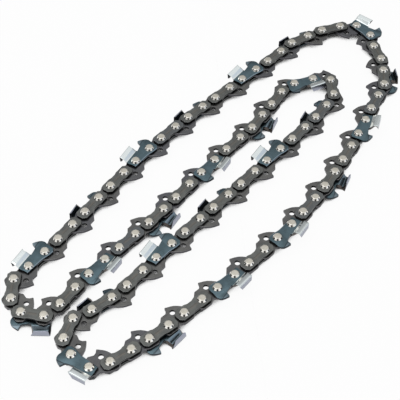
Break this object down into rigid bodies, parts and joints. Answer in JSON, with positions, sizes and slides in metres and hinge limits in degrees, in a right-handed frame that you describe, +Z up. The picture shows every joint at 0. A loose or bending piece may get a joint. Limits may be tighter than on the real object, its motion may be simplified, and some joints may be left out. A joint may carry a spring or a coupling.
{
  "type": "chainsaw chain loop",
  "caption": "Saw chain loop lying on its side in a folded loop: riveted drive links with hooked tangs, tie straps, and blued cutters with chromed teeth.",
  "frame": {"origin": "middle of the loop's box, on the surface that it lies on", "axes": "+X along the long runs, +Y across them towards the back run, +Z up, along the rivets"},
  "size_m": [0.2522, 0.0948, 0.0078],
  "materials": {
    "drive_links": "dark oiled hardened steel",
    "tie_straps": "dark oiled hardened steel",
    "cutters": "blued steel with a bright chromed tooth",
    "rivets": "bright peened heads"
  },
  "bodies": {
    "chain": {"back_run_drive_links": "drive_links", "back_run_tie_straps": "tie_straps", "back_run_rivets": "rivets", "left_cutter_2": "cutters", "right_cutter_3": "cutters", "left_cutter_4": "cutters", "right_cutter_5": "cutters", "right_turn_drive_links": "drive_links", "right_turn_tie_straps": "tie_straps", "right_turn_rivets": "rivets", "left_cutter_6": "cutters", "right_cutter_7": "cutters", "left_cutter_8": "cutters", "front_run_drive_links": "drive_links", "front_run_tie_straps": "tie_straps", "front_run_rivets": "rivets", "right_cutter_9": "cutters", "left_cutter_10": "cutters", "right_cutter_11": "cutters", "right_cutter_12": "cutters", "left_cutter_13": "cutters", "front_turn_drive_links": "drive_links", "front_turn_tie_straps": "tie_straps", "front_turn_rivets": "rivets", "right_cutter_14": "cutters", "inner_front_run_drive_links": "drive_links", "inner_front_run_tie_straps": "tie_straps", "inner_front_run_rivets": "rivets", "left_cutter_15": "cutters", "right_cutter_16": "cutters", "left_cutter_17": "cutters", "right_cutter_18": "cutters", "inner_back_run_drive_links": "drive_links", "inner_back_run_tie_straps": "tie_straps", "inner_back_run_rivets": "rivets", "right_cutter_22": "cutters", "left_cutter_23": "cutters", "right_cutter_24": "cutters"},
    "inner_fold": {"inner_fold_drive_links": "drive_links", "inner_fold_tie_straps": "tie_straps", "inner_fold_rivets": "rivets", "left_cutter_19": "cutters", "right_cutter_20": "cutters", "left_cutter_21": "cutters"},
    "left_turn": {"left_turn_drive_links": "drive_links", "left_turn_tie_straps": "tie_straps", "left_turn_rivets": "rivets", "right_cutter_1": "cutters", "left_cutter_25": "cutters"},
    "left_turn_back_link": {"left_turn_back_link": "drive_links"},
    "inner_fold_front_link": {"inner_fold_front_link": "drive_links"},
    "inner_fold_back_link": {"inner_fold_back_link": "drive_links"},
    "left_turn_inner_link": {"left_turn_inner_link": "drive_links"}
  },
  "joints": [
    {"name": "inner_fold_front_pivot", "type": "hinge", "parent": "chain", "child": "inner_fold_front_link", "pos_m": [0.02398, -0.00874, 0.0039], "axis": [0, 0, 1], "range_deg": [-14, 14]},
    {"name": "inner_fold_sway", "type": "hinge", "parent": "inner_fold_front_link", "child": "inner_fold", "pos_m": [0.03264, -0.00912, 0.0039], "axis": [0, 0, 1], "range_deg": [-14, 14]},
    {"name": "inner_fold_back_pivot", "type": "hinge", "parent": "chain", "child": "inner_fold_back_link", "pos_m": [0.01816, 0.0107, 0.0039], "axis": [0, 0, 1], "range_deg": [-14, 14]},
    {"name": "left_turn_inner_pivot", "type": "hinge", "parent": "chain", "child": "left_turn_inner_link", "pos_m": [-0.08496, 0.01149, 0.0039], "axis": [0, 0, 1], "range_deg": [-16, 4]},
    {"name": "left_turn_sway", "type": "hinge", "parent": "left_turn_inner_link", "child": "left_turn", "pos_m": [-0.09362, 0.0111, 0.0039], "axis": [0, 0, 1], "range_deg": [-4, 16]},
    {"name": "left_turn_back_pivot", "type": "hinge", "parent": "chain", "child": "left_turn_back_link", "pos_m": [-0.0796, 0.03533, 0.0039], "axis": [0, 0, 1], "range_deg": [-16, 4]}
  ],
  "couplings": [
    {"joint": "inner_fold_sway", "follows": "inner_fold_front_pivot", "ratio": -1},
    {"joint": "inner_fold_back_pivot", "follows": "inner_fold_front_pivot", "ratio": 1},
    {"joint": "left_turn_sway", "follows": "left_turn_inner_pivot", "ratio": -1},
    {"joint": "left_turn_back_pivot", "follows": "left_turn_inner_pivot", "ratio": 1}
  ]
}
